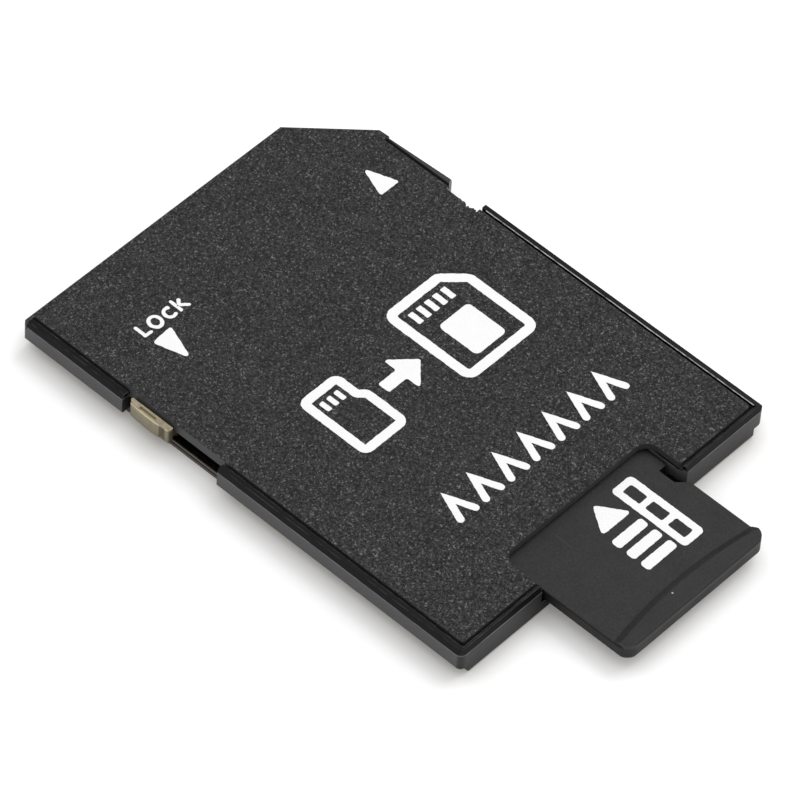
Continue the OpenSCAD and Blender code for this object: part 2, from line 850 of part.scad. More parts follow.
// Bevel across the contact end, above or below
module nose_cut(top) {
    z = top ? card_top : card_z;
    dir = top ? 1 : -1;
    translate([card_w, card_y1, 0])
        rotate([90, 0, -90])
            linear_extrude(2 * card_w)
                polygon([
                    [-over, z + dir * over],
                    [-over, z - dir * nose_bevel],
                    [0, z - dir * nose_bevel],
                    [nose_bevel, z],
                    [nose_bevel, z + dir * over]
                ]);
}

module card_pad_space(k, z, h) {
    translate([
        finger_x(k) - card_pad_w / 2,
        card_y1 - card_pad_in - card_pad_l,
        z
    ])
        cube([card_pad_w, card_pad_l, h]);
}

module card_pad(k) {
    color(metal_colour)
        card_pad_space(k, card_z + card_pad_sink, card_pad_t);
}

lower_shell();
upper_cover();
contact_carrier();
lock_slider();
contact(0);  // contact_data_2
contact(1);  // contact_data_3
contact(2);  // contact_command
contact(3);  // contact_supply
contact(4);  // contact_clock
contact_ground();
contact(6);  // contact_data_0
contact(7);  // contact_data_1
card_body();
for (k = [0:7])
    card_pad(k);
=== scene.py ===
"""Looks of a full-size memory card adapter with a small card part of the way into its slot."""

import math

import bmesh
import bpy
from bpy.props import FloatProperty, FloatVectorProperty, IntProperty, PointerProperty
from mathutils import Matrix, Vector, noise


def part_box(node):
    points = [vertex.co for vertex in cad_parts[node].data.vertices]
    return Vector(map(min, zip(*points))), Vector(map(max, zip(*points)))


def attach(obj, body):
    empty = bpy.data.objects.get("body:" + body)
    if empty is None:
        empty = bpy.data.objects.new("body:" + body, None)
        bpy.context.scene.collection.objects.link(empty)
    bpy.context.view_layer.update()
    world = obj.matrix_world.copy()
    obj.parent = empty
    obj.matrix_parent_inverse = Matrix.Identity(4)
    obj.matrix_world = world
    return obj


bl_info = {
    "name": "Memory card adapter",
    "version": (1, 0, 0),
    "blender": (4, 5, 0),
    "location": "3D View > Sidebar > Card",
    "description": "Finishes, print and studio for the adapter and its small card",
    "category": "Object",
}

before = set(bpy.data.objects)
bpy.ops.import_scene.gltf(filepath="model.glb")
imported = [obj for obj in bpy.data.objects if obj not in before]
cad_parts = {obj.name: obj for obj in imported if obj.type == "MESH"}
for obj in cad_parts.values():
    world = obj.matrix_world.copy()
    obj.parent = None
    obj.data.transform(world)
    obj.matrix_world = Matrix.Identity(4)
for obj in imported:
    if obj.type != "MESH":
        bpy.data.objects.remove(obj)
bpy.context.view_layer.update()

MM = 0.001

# Sockets of the colour mix node, which share their names between types of data
MIX_SHARE, MIX_FIRST, MIX_SECOND, MIX_RESULT = 0, 6, 7, 2

CONTACTS = [
    "contact_data_2", "contact_data_3", "contact_command", "contact_supply",
    "contact_clock", "contact_ground", "contact_data_0", "contact_data_1",
]
CARD_PADS = ["card_pad_" + str(number) for number in range(1, 9)]

# Places and sizes on the part, in millimetres
COVER_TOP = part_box("upper_cover")[1][2] / MM
CARD_TOP = 1.6
BEVEL_HEIGHT = 0.32
BEVEL_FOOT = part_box("lower_shell")[1][2] / MM - BEVEL_HEIGHT
RIM_INSIDE = 11.55
NOTCH_PLACE = (4.0, 6.0)
LEDGE_PLACE = (-11.25, 4.7)
LEDGE_HALF_LENGTH = 3.5
LEDGE_LINES = ((0.4, 1.0), (0.12, 0.75))
FLECK_PLACE = (-1.02, -20.9)
FLECK_RADIUS = 0.05
BURR_ENDS = (-15.6, 3.85)
BURR_STEPS = 120
BURR_WIDTH, BURR_STRAY = 0.06, 0.02

# Colours of dirt and wear, and of painted highlights and painted shade
LEDGE_HIGHLIGHT = (0.2, 0.175, 0.14, 1.0)
COVER_SPECK = (0.06, 0.03, 0.03, 1.0)
CARD_DUST = (0.12, 0.12, 0.12, 1.0)
CARD_FLECK = (0.45, 0.45, 0.45, 1.0)
GROOVE_SHADE = (0.1, 0.07, 0.035, 1.0)
TRAILING_END_SHADE = (0.06, 0.052, 0.035, 1.0)
RUBBED_GOLD = (0.62, 0.55, 0.42, 1.0)
BARE_NICKEL = (0.66, 0.6, 0.5, 1.0)
BURR_DARK, BURR_HIGHLIGHT = (0.06, 0.06, 0.06, 1.0), (0.42, 0.42, 0.42, 1.0)
BURR_EDGE_HIGHLIGHT = (0.35, 0.35, 0.35, 1.0)

# Outlines of the print, in millimetres
LOCK_WORD_PLACE = (-8.1, 10.53)
LOCK_TRIANGLE = [(-8.18, 10.03), (-7.5, 7.78), (-6.64, 10.16)]
INSERTION_TRIANGLE = [(8.21, 8.62), (9.71, 8.62), (8.96, 10.69)]
SMALL_OUTLINE = [
    (-5.52, -3.12), (-2.6, -3.12), (-2.6, -0.5), (-3.0, -0.1), (-3.0, 1.4), (-5.52, 1.4),
]
ARROW = [
    (-1.7, -1.25), (-0.3, -1.25), (-0.3, -2.25), (1.2, -0.85), (-0.3, 0.55),
    (-0.3, -0.45), (-1.7, -0.45),
]
LARGE_OUTLINE = [(2.2, -3.5), (7.3, -3.5), (7.3, 1.2), (6.1, 2.4), (2.2, 2.4)]
CHEVRON = [(-5.4, -9.85), (-4.82, -8.4), (-4.24, -9.85)]
CHEVRON_STROKE = 0.44
CARD_TRIANGLE = [(-0.6, -15.6), (1.75, -15.6), (0.58, -13.85)]
RUNGS = (-14.35, -15.95, -17.55)
RUNG_HEIGHT = 1.2
INK_RUN = 0.12

# The floor lies this far under the part, in millimetres
FLOOR_DROP = 0.004
FLOOR_WHITE = (0.93, 0.93, 0.93, 1)
FLOOR_CONTACT_SHADOW = (0.52, 0.5, 0.46, 1)
# Each lamp's name, place and side in metres, and share of the key lamp's power
LAMPS = (
    ("key_lamp", (0.34, -0.02, 0.4), 0.34, 1.0),
    ("side_lamp", (-0.05, 0.4, 0.35), 0.3, 0.25),
)


# Settings that a user would change

class Finishes(bpy.types.PropertyGroup):
    """Colours and grain of the plastics, the metal and the ink"""
    cover: FloatVectorProperty(
        name="Cover", description="Colour of the textured cover", subtype="COLOR",
        size=3, min=0, max=1, default=(0.0155, 0.0155, 0.0159))
    shell: FloatVectorProperty(
        name="Shell", description="Colour of the smooth tray and rims", subtype="COLOR",
        size=3, min=0, max=1, default=(0.013, 0.013, 0.0135))
    carrier: FloatVectorProperty(
        name="Carrier", description="Colour of the frame over the contacts", subtype="COLOR",
        size=3, min=0, max=1, default=(0.01, 0.01, 0.01))
    card: FloatVectorProperty(
        name="Small card", description="Colour of the small card", subtype="COLOR",
        size=3, min=0, max=1, default=(0.0105, 0.0104, 0.0107))
    slider: FloatVectorProperty(
        name="Lock", description="Colour of the lock slider", subtype="COLOR",
        size=3, min=0, max=1, default=(0.315, 0.272, 0.176))
    metal: FloatVectorProperty(
        name="Contacts", description="Colour of the plated contacts", subtype="COLOR",
        size=3, min=0, max=1, default=(0.83, 0.62, 0.27))
    ink: FloatVectorProperty(
        name="Ink", description="Colour of the print", subtype="COLOR",
        size=3, min=0, max=1, default=(0.93, 0.93, 0.93))
    grain: FloatProperty(
        name="Grain", description="Grains of the cover's texture in each millimetre",
        default=7.5, min=1, max=20)
    grain_depth: FloatProperty(
        name="Grain depth", description="Height of the cover's texture",
        default=0.1 * MM, min=0, unit="LENGTH", precision=6)


class PrintSizes(bpy.types.PropertyGroup):
    """Sizes of the white print"""
    thickness: FloatProperty(
        name="Ink thickness", description="How far the print stands on the plastic",
        default=0.006 * MM, min=0, unit="LENGTH", precision=6)
    ragged: FloatProperty(
        name="Ragged edge", description="How far the print's edge wanders",
        default=0.03 * MM, min=0, unit="LENGTH", precision=6)
    stroke: FloatProperty(
        name="Letter stroke", description="Width of the letters' strokes",
        default=0.21 * MM, min=0, unit="LENGTH", precision=6)
    chevrons: IntProperty(
        name="Chevrons", description="Number of chevrons in the row", default=7, min=1, max=12)
    chevron_pitch: FloatProperty(
        name="Chevron pitch", description="Distance between chevrons",
        default=1.98 * MM, min=0, unit="LENGTH", precision=6)


class Studio(bpy.types.PropertyGroup):
    """Camera, floor and lamps"""
    camera_place: FloatVectorProperty(
        name="Camera place", description="Where the camera stands", subtype="XYZ",
        size=3, unit="LENGTH", default=(-0.186785, -0.155449, 0.288803))
    camera_aim: FloatVectorProperty(
        name="Camera aim", description="The point that the camera looks at", subtype="XYZ",
        size=3, unit="LENGTH", default=(-0.000318, -0.000902, 0.0))
    camera_roll: FloatProperty(
        name="Camera roll", description="Turn of the camera about its line of sight",
        subtype="ANGLE", default=math.radians(4.33))
    lens: FloatProperty(
        name="Lens", description="Focal length in millimetres on a 36 mm sensor",
        default=316.15, min=10)
    floor: FloatProperty(
        name="Floor", description="Length of each side of the floor",
        default=3.0, min=0.1, unit="LENGTH")
    contact_reach: FloatProperty(
        name="Contact reach", description="How far from an edge the floor is darker",
        default=0.0015, min=0, unit="LENGTH")
    lift: FloatProperty(
        name="Floor lift", description="Light that the camera sees added to the floor",
        default=0.22, min=0)
    surround: FloatProperty(
        name="Surround", description="Level of the light from all round", default=0.8, min=0)
    ceiling: FloatProperty(
        name="Ceiling", description="Level of the surround as glossy surfaces see it",
        default=0.5, min=0)
    key: FloatProperty(
        name="Key lamp", description="Power of the lamp above the far side", default=0.95,
        min=0, unit="POWER")


# Materials

class Finish:
    """A material being wired up, with its patterns laid out in millimetres."""

    def __init__(self, name):
        self.material = bpy.data.materials.new(name)
        self.material.use_nodes = True
        self.tree = self.material.node_tree
        self.surface = self.tree.nodes["Principled BSDF"]
        self.object_place = self.node("ShaderNodeTexCoord").outputs["Object"]
        self.geometry = self.node("ShaderNodeNewGeometry")
        self.place = self.mapped((1.0, 1.0, 1.0))

    def node(self, kind, **settings):
        made = self.tree.nodes.new(kind)
        for key, value in settings.items():
            setattr(made, key, value)
        count = len(self.tree.nodes)
        made.location = (-1800 + 200 * (count % 8), 400 - 220 * (count // 8))
        return made

    def feed(self, socket, value):
        """Links a socket to another node's output, or sets it to a constant."""
        if isinstance(value, bpy.types.NodeSocket):
            self.tree.links.new(value, socket)
        else:
            socket.default_value = value

    def mapped(self, stretch):
        """The place in millimetres, stretched along the axes."""
        mapping = self.node("ShaderNodeMapping")
        self.feed(mapping.inputs["Vector"], self.object_place)
        mapping.inputs["Scale"].default_value = [part / MM for part in stretch]
        return mapping.outputs["Vector"]

    def noise(self, scale, detail=2.0, roughness=0.5, place=None):
        made = self.node("ShaderNodeTexNoise")
        self.feed(made.inputs["Vector"], place or self.place)
        made.inputs["Scale"].default_value = scale
        made.inputs["Detail"].default_value = detail
        made.inputs["Roughness"].default_value = roughness
        return made.outputs[0]

    def cells(self, scale):
        """The distance from the middles of scattered cells."""
        made = self.node("ShaderNodeTexVoronoi")
        self.feed(made.inputs["Vector"], self.place)
        made.inputs["Scale"].default_value = scale
        return made.outputs["Distance"]

    def math(self, operation, first, second=0.0, third=0.0):
        made = self.node("ShaderNodeMath", operation=operation)
        for socket, value in zip(made.inputs, (first, second, third)):
            self.feed(socket, value)
        return made.outputs[0]

    def times(self, first, *others):
        """The product of two values or more."""
        for other in others:
            first = self.math("MULTIPLY", first, other)
        return first

    def away(self, value, centre):
        """How far a value lies from a centre."""
        return self.math("ABSOLUTE", self.math("SUBTRACT", value, centre))

    def remap(self, value, low, high, to_low=0.0, to_high=1.0):
        made = self.node("ShaderNodeMapRange")
        for name, number in (
            ("Value", value), ("From Min", low), ("From Max", high),
            ("To Min", to_low), ("To Max", to_high),
        ):
            self.feed(made.inputs[name], number)
        return made.outputs[0]

    def mix(self, share, first, second):
        made = self.node("ShaderNodeMix", data_type="RGBA")
        for index, value in ((MIX_SHARE, share), (MIX_FIRST, first), (MIX_SECOND, second)):
            self.feed(made.inputs[index], value)
        return made.outputs[MIX_RESULT]

    def part(self, vector, axis):
        """One axis of a vector."""
        made = self.node("ShaderNodeSeparateXYZ")
        self.feed(made.inputs[0], vector)
        return made.outputs[axis]

    def facing_up(self):
        """One on level faces that look up, and nothing on the sides."""
        return self.remap(self.part(self.geometry.outputs["True Normal"], "Z"), 0.6, 0.85)

    def facing_sideways(self):
        """One on the upright faces at the left and right."""
        across = self.part(self.geometry.outputs["True Normal"], "X")
        return self.remap(self.math("ABSOLUTE", across), 0.9, 0.97)

    def measure(self, axis):
        """The place along an axis, in millimetres."""
        return self.math("DIVIDE", self.part(self.object_place, axis), MM)

    def near(self, point, radius):
        """A mask of the places that lie within a radius of a point, seen from above."""
        made = self.node("ShaderNodeVectorMath", operation="DISTANCE")
        self.feed(made.inputs[0], self.mapped((1.0, 1.0, 0.0)))
        made.inputs[1].default_value = (point[0], point[1], 0.0)
        return self.remap(made.outputs["Value"], radius * 1.3, radius * 0.7)

    def worn_edges(self, radius, dull=0.98, sharp=0.8):
        """A mask of the sharp edges, broken up by a coarse noise, and the softened normal."""
        soft = self.node("ShaderNodeBevel", samples=8)
        soft.inputs["Radius"].default_value = radius
        dot = self.node("ShaderNodeVectorMath", operation="DOT_PRODUCT")
        self.feed(dot.inputs[0], soft.outputs[0])
        self.feed(dot.inputs[1], self.geometry.outputs["Normal"])
        edge = self.remap(dot.outputs["Value"], dull, sharp)
        patches = self.remap(self.noise(1.3, 3, 0.6), 0.4, 0.65)
        return self.times(edge, patches), soft.outputs[0]

    def bump(self, relief, depth, strength=1.0, normal=None):
        made = self.node("ShaderNodeBump")
        self.feed(made.inputs["Strength"], strength)
        made.inputs["Distance"].default_value = depth
        self.feed(made.inputs["Height"], relief)
        if normal is not None:
            self.feed(made.inputs["Normal"], normal)
        return made.outputs[0]

    def finish(self, **sockets):
        for name, value in sockets.items():
            self.feed(self.surface.inputs[name.replace("_", " ")], value)
        return self.material


def shade(colour, factor):
    return (colour[0] * factor, colour[1] * factor, colour[2] * factor, 1.0)


def spark_textured_plastic(finishes):
    """Black cover plastic with the fine pitted grain of a spark-eroded mould."""
    f = Finish("spark_textured_plastic")
    up = f.facing_up()
    grain = f.noise(finishes.grain, 3.0, 0.62)
    pits = f.cells(finishes.grain * 1.4)
    relief = f.math("MULTIPLY_ADD", pits, 0.45, grain)
    cover = finishes.cover
    # The tone follows the grain's relief and is darker in the pits: partly the grain's own tone, partly
    # painted shade
    tone = f.mix(f.remap(relief, 0.56, 0.8), shade(cover, 0.02), shade(cover, 2.4))
    # Painted highlights: bright specks in the colour stand for glints on the grain
    glints = f.remap(f.noise(finishes.grain * 1.3, 1.0, 0.4), 0.6, 0.72)
    tone = f.mix(glints, tone, shade(cover, 11.0))
    blotches = f.remap(f.noise(finishes.grain * 0.85, 2.0, 0.5), 0.36, 0.54)
    tone = f.mix(blotches, shade(cover, 0.05), tone)
    specks = f.math("LESS_THAN", f.cells(0.55), 0.035)
    tone = f.mix(specks, tone, COVER_SPECK)
    # Painted light: faces that don't look up are lighter than the grained top
    tone = f.mix(up, shade(cover, 3.2), tone)
    # The sharp edges are lightened: partly wear, partly painted highlight
    wear_and_highlight, soft = f.worn_edges(0.04 * MM)
    tone = f.mix(wear_and_highlight, tone, shade(cover, 3.5))
    broad = f.remap(f.noise(0.3, 2, 0.5), 0.3, 0.7, 0.46, 0.56)
    rough = f.times(broad, f.remap(up, 0.0, 1.0, 0.75, 1.0))
    strength = f.remap(up, 0.0, 1.0, 0.05, 1.0)
    normal = f.bump(relief, finishes.grain_depth, strength, soft)
    return f.finish(Base_Color=tone, Roughness=rough, Normal=normal, Specular_IOR_Level=0.4)


def moulded_plastic(name, colour, roughness, highlight_heights=()):
    """Smooth moulded plastic with flow marks, sides lightened as painted light, tops darkened as
    painted shade and painted highlight lines at some heights.
    """
    f = Finish(name)
    up = f.facing_up()
    sideways = f.facing_sideways()
    tall = f.measure("Z")
    fine = f.noise(14.0, 3.0, 0.55)
    flow = f.noise(0.8, 3.0, 0.5, f.mapped((0.25, 1.0, 1.0)))
    tone = f.mix(f.remap(flow, 0.3, 0.7), shade(colour, 1.3), shade(colour, 2.2))
    # Painted light: the upright side faces are lightened, broken up by a fine noise
    painted_side_light = f.remap(fine, 0.4, 0.7, 0.55, 1.0)
    tone = f.mix(f.times(sideways, painted_side_light), tone, shade(colour, 8.0))
    # Painted shade: level faces, and all faces above the bevel's foot, are darkened
    high = f.remap(tall, BEVEL_FOOT - 0.01, BEVEL_FOOT + 0.02)
    level = f.math("MAXIMUM", up, high)
    right = f.remap(f.measure("X"), RIM_INSIDE - 0.05, RIM_INSIDE)
    ahead = f.remap(f.measure("Y"), *NOTCH_PLACE)
    tone = f.mix(level, tone, shade(colour, 0.2))
    # Painted highlight: the right rim's top ahead of the notch is lightened again
    tone = f.mix(f.times(level, right, ahead), tone, shade(colour, 3.6))
    # Painted shade: the ledge under the lock's slot is darkened
    across = f.remap(f.away(f.measure("X"), LEDGE_PLACE[0]), 0.1, 0.05)
    along = f.away(f.measure("Y"), LEDGE_PLACE[1])
    ledge = f.times(across, f.remap(along, LEDGE_HALF_LENGTH + 0.1, LEDGE_HALF_LENGTH))
    tone = f.mix(ledge, tone, shade(colour, 0.8))
    # Two painted highlight lines, light brown, along the edges of the ledge under the lock's slot
    for height, strength in LEDGE_LINES:
        line = f.remap(f.away(tall, height), 0.07, 0.03, 0.0, strength)
        tone = f.mix(f.times(line, ledge), tone, LEDGE_HIGHLIGHT)
    # Painted highlight lines on the side faces at the given heights, broken into patches
    patches = f.remap(f.noise(0.9, 3, 0.6), 0.35, 0.6, 0.35, 1.0)
    for height in highlight_heights:
        line = f.remap(f.away(tall, height), 0.03, 0.01)
        line = f.times(line, patches, f.math("SUBTRACT", 1.0, up))
        tone = f.mix(line, tone, shade(colour, 16.0))
    # Painted highlights: the sharp edges are lightened
    wear_and_highlight, soft = f.worn_edges(0.05 * MM, 0.99, 0.92)
    tone = f.mix(wear_and_highlight, tone, shade(colour, 9.0))
    rough = f.math("ADD", f.remap(flow, 0.3, 0.7, -0.05, 0.05), roughness)
    rough = f.math("ADD", rough, f.times(sideways, 0.12))
    normal = f.bump(fine, 0.002 * MM, 1.0, soft)
    return f.finish(Base_Color=tone, Roughness=rough, Normal=normal, Specular_IOR_Level=0.22)


def card_plastic(finishes):
    """The small card's moulding compound, with hairline scratches and dust."""
    f = Finish("card_compound")
    fine = f.noise(9.0, 3.0, 0.6)
    broad = f.noise(0.6, 2.0, 0.5)
    card = finishes.card
    tone = f.mix(f.remap(fine, 0.35, 0.65), shade(card, 0.6), shade(card, 1.6))
    hairs = f.noise(6.0, 1.0, 0.4, f.mapped((1.0, 0.04, 1.0)))
    scratch = f.times(f.remap(hairs, 0.745, 0.76), f.remap(broad, 0.5, 0.6))
    tone = f.mix(scratch, tone, shade(card, 1.9))
    dust = f.math("LESS_THAN", f.cells(0.42), 0.018)
    tone = f.mix(dust, tone, CARD_DUST)
    up = f.facing_up()
    fleck = f.times(f.near(FLECK_PLACE, FLECK_RADIUS), up)
    tone = f.mix(fleck, tone, CARD_FLECK)
    # Painted shade on the side faces below the card's top, painted light on the step's faces above it
    side = f.math("SUBTRACT", 1.0, up)
    below = f.remap(f.measure("Z"), CARD_TOP, CARD_TOP - 0.03)
    flank = f.mix(below, shade(card, 2.2), shade(card, 0.35))
    tone = f.mix(side, tone, flank)
    # The sharp edges are lightened: partly wear, partly painted highlight
    wear_and_highlight, soft = f.worn_edges(0.05 * MM)
    tone = f.mix(wear_and_highlight, tone, shade(card, 3.0))
    rough = f.remap(broad, 0.3, 0.7, 0.46, 0.56)
    normal = f.bump(fine, 0.006 * MM, 1.0, soft)
    return f.finish(Base_Color=tone, Roughness=rough, Normal=normal, Specular_IOR_Level=0.4)


def slider_plastic(finishes):
    """Beige acetal, a little translucent, with painted shade in its hollows, low on its sides, in a
    band near the trailing end and on that end, and a painted highlight along its ridge.
    """
    f = Finish("beige_acetal")
    low, high = ([part / MM for part in corner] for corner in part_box("lock_slider"))
    trailing, top = low[1], high[2]
    groove_place = trailing + (high[1] - trailing) / 6
    up = f.facing_up()
    beige = finishes.slider
    mottle = f.noise(3.0, 3.0, 0.55)
    fine = f.noise(16.0, 2.0, 0.5)
    tone = f.mix(f.remap(mottle, 0.35, 0.65), shade(beige, 0.75), shade(beige, 1.15))
    # The sharp edges are lightened: partly wear, partly painted highlight
    wear_and_highlight, soft = f.worn_edges(0.06 * MM)
    tone = f.mix(wear_and_highlight, tone, shade(beige, 1.6))
    tall = f.measure("Z")
    side = f.math("SUBTRACT", 1.0, up)
    # Painted shade: the sides darken towards the bottom
    shaded = f.times(f.remap(tall, top - 0.1, top - 1.0, 0.3, 0.9), side)
    tone = f.mix(shaded, tone, shade(beige, 0.55))
    # Painted highlight in a band just under the top edge of the sides
    ridge_highlight = f.times(f.remap(tall, top - 0.12, top - 0.07), side)
    tone = f.mix(ridge_highlight, tone, shade(beige, 2.1))
    # Painted shade on the level faces that lie below the top
    hollow_shade = f.remap(tall, top - 0.05, top - 0.09)
    tone = f.mix(f.times(hollow_shade, up), tone, shade(beige, 0.6))
    along = f.measure("Y")
    # Painted shade: a dark brown band across the sides near the trailing end stands for a groove's
    # shade
    groove = f.times(f.remap(f.away(along, groove_place), 0.22, 0.14), side, 0.8)
    tone = f.mix(groove, tone, GROOVE_SHADE)
    # Painted shade on the faces at the trailing end
    end = f.times(f.remap(along, trailing + 0.14, trailing + 0.05), side, 0.8)
    tone = f.mix(end, tone, TRAILING_END_SHADE)
    normal = f.bump(fine, 0.003 * MM, 1.0, soft)
    return f.finish(
        Base_Color=tone, Roughness=f.remap(mottle, 0.3, 0.7, 0.36, 0.46), Normal=normal,
        Subsurface_Weight=0.08, Subsurface_Scale=0.0002)


def gold_plating(name, finishes, brush=(3.0, 0.15, 3.0)):
    """Gold over nickel, brushed along the strips and rubbed where it is touched."""
    f = Finish(name)
    lines = f.noise(9.0, 3.0, 0.6, f.mapped(brush))
    cloud = f.noise(0.9, 3.0, 0.6)
    tone = f.mix(f.remap(cloud, 0.35, 0.7), shade(finishes.metal, 0.85), shade(finishes.metal, 1.08))
    rubbed = f.times(f.remap(lines, 0.58, 0.66), f.remap(cloud, 0.45, 0.6))
    tone = f.mix(rubbed, tone, RUBBED_GOLD)
    wear_and_highlight, soft = f.worn_edges(0.03 * MM)
    tone = f.mix(wear_and_highlight, tone, BARE_NICKEL)
    rough = f.remap(lines, 0.35, 0.7, 0.2, 0.36)
    normal = f.bump(lines, 0.0015 * MM, 1.0, soft)
    return f.finish(Base_Color=tone, Metallic=1.0, Roughness=rough, Normal=normal)


def burr_highlight_plastic():
    """The shiny feather edge that the mould leaves along a rim, coloured light as a painted highlight.
    """
    f = Finish("burr_highlight_plastic")
    breaks = f.noise(2.2, 3.0, 0.6)
    # Painted highlight: the strip's light colour, broken into dark stretches, and its lighter edges
    # stand for light catching the rim's edge
    tone = f.mix(f.remap(breaks, 0.3, 0.55), BURR_DARK, BURR_HIGHLIGHT)
    wear_and_highlight, soft = f.worn_edges(0.01 * MM)
    tone = f.mix(wear_and_highlight, tone, BURR_EDGE_HIGHLIGHT)
    normal = f.bump(breaks, 0.004 * MM, 1.0, soft)
    rough = f.remap(breaks, 0.3, 0.7, 0.2, 0.3)
    return f.finish(Base_Color=tone, Roughness=rough, Normal=normal)


def white_ink(finishes):
    """Opaque pad-printed ink that follows the grain under it."""
    f = Finish("white_ink")
    grain = f.noise(finishes.grain, 3.0, 0.62)
    cloud = f.noise(0.9, 2.0, 0.5)
    tone = f.mix(f.remap(cloud, 0.3, 0.7), shade(finishes.ink, 0.97), shade(finishes.ink, 1.0))
    holes = f.math("LESS_THAN", f.cells(1.1), 0.03)
    tone = f.mix(holes, tone, shade(finishes.ink, 0.35))
    normal = f.bump(grain, finishes.grain_depth * 0.35, 1.0)
    return f.finish(Base_Color=tone, Roughness=f.remap(cloud, 0.3, 0.7, 0.45, 0.55), Normal=normal)


def dress(node, material):
    """Gives a CAD node its material."""
    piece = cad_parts[node]
    if not piece.material_slots:
        raise RuntimeError(node + " has no material slot")
    for slot in piece.material_slots:
        slot.material = material


# Outlines of the print, as lists of points in millimetres

def softened(points, radius, steps=5):
    """A closed outline with its corners rounded."""
    loop = []
    count = len(points)
    for index, point in enumerate(points):
        here = Vector(point)
        back = (Vector(points[index - 1]) - here).normalized()
        ahead = (Vector(points[(index + 1) % count]) - here).normalized()
        half = back.angle(ahead) / 2
        reach = radius / math.tan(half)
        centre = here + (back + ahead).normalized() * radius / math.sin(half)
        first = here + back * reach - centre
        last = here + ahead * reach - centre
        turn = math.atan2(first.x * last.y - first.y * last.x, first.dot(last))
        for step in range(steps + 1):
            bent = Matrix.Rotation(turn * step / steps, 2) @ first
            loop.append(tuple(centre + bent))
    return loop


def box(x0, y0, x1, y1, radius):
    return softened([(x0, y0), (x1, y0), (x1, y1), (x0, y1)], radius)


def moved_aside(points, distance, closed):
    """The points of a line moved to its left by a distance."""
    moved = []
    count = len(points)
    for index, point in enumerate(points):
        here = Vector(point)
        runs = []
        if closed or index > 0:
            runs.append((here - Vector(points[index - 1])).normalized())
        if closed or index < count - 1:
            runs.append((Vector(points[(index + 1) % count]) - here).normalized())
        normals = [Vector((-run.y, run.x)) for run in runs]
        mean = sum(normals, Vector((0, 0))).normalized()
        moved.append(tuple(here + mean * distance / max(0.4, mean.dot(normals[0]))))
    return moved


def stroke(points, width):
    """The outline of a line drawn with a round pen."""
    def cap(end, before):
        run = (Vector(end) - Vector(before)).normalized()
        start = Vector((run.y, -run.x)) * width / 2
        turns = [Matrix.Rotation(math.pi * step / 6, 2) @ start for step in range(1, 6)]
        return [tuple(Vector(end) + turn) for turn in turns]
    left = moved_aside(points, width / 2, False)
    right = moved_aside(points, -width / 2, False)
    return right + cap(points[-1], points[-2]) + left[::-1] + cap(points[0], points[1])


def band(points, width):
    """The two outlines of a closed line drawn with a pen."""
    return [moved_aside(points, -width / 2, True), moved_aside(points, width / 2, True)]


def arc(centre, across, up, start, end, steps=18):
    return [
        (
            centre[0] + across * math.cos(math.radians(start + (end - start) * step / steps)),
            centre[1] + up * math.sin(math.radians(start + (end - start) * step / steps)),
        )
        for step in range(steps + 1)
    ]


def wandering(loop, amount):
    """The outline cut into short runs that stray a little, as ink does on grain."""
    points = []
    for index, start in enumerate(loop):
        end = loop[(index + 1) % len(loop)]
        runs = max(1, round(math.dist(start, end) / INK_RUN))
        for run in range(runs):
            x = start[0] + (end[0] - start[0]) * run / runs
            y = start[1] + (end[1] - start[1]) * run / runs
            points.append((
                x + amount * noise.noise(Vector((x * 5, y * 5, 3.1))),
                y + amount * noise.noise(Vector((x * 5, y * 5, 8.7))),
            ))
    return points


def printed(name, shapes, surface, sizes, material, body):
    """One piece of print: flat shapes with a little thickness that stand on a surface."""
    depth = sizes.thickness / MM
    mesh = bmesh.new()
    for loops in shapes:
        edges = []
        for loop in loops:
            ring = [
                mesh.verts.new((x, y, surface - depth))
                for x, y in wandering(loop, sizes.ragged / MM)
            ]
            edges += [mesh.edges.new((ring[i - 1], ring[i])) for i in range(len(ring))]
        filled = bmesh.ops.triangle_fill(
            mesh, use_beauty=True, use_dissolve=False, edges=edges, normal=(0, 0, 1))
        faces = [part for part in filled["geom"] if isinstance(part, bmesh.types.BMFace)]
        if not faces:
            raise RuntimeError(name + " has a shape that can't be filled")
        raised = bmesh.ops.extrude_face_region(mesh, geom=faces, use_keep_orig=True)
        tops = [part for part in raised["geom"] if isinstance(part, bmesh.types.BMVert)]
        bmesh.ops.translate(mesh, verts=tops, vec=(0, 0, 2 * depth))
    bmesh.ops.recalc_face_normals(mesh, faces=mesh.faces)
    bmesh.ops.scale(mesh, verts=mesh.verts, vec=(MM, MM, MM))
    data = bpy.data.meshes.new(name)
    mesh.to_mesh(data)
    mesh.free()
    piece = bpy.data.objects.new(name, data)
    bpy.context.scene.collection.objects.link(piece)
    data.materials.append(material)
    if body:
        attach(piece, body)
    return piece


# Rows of like marks, made with Geometry Nodes

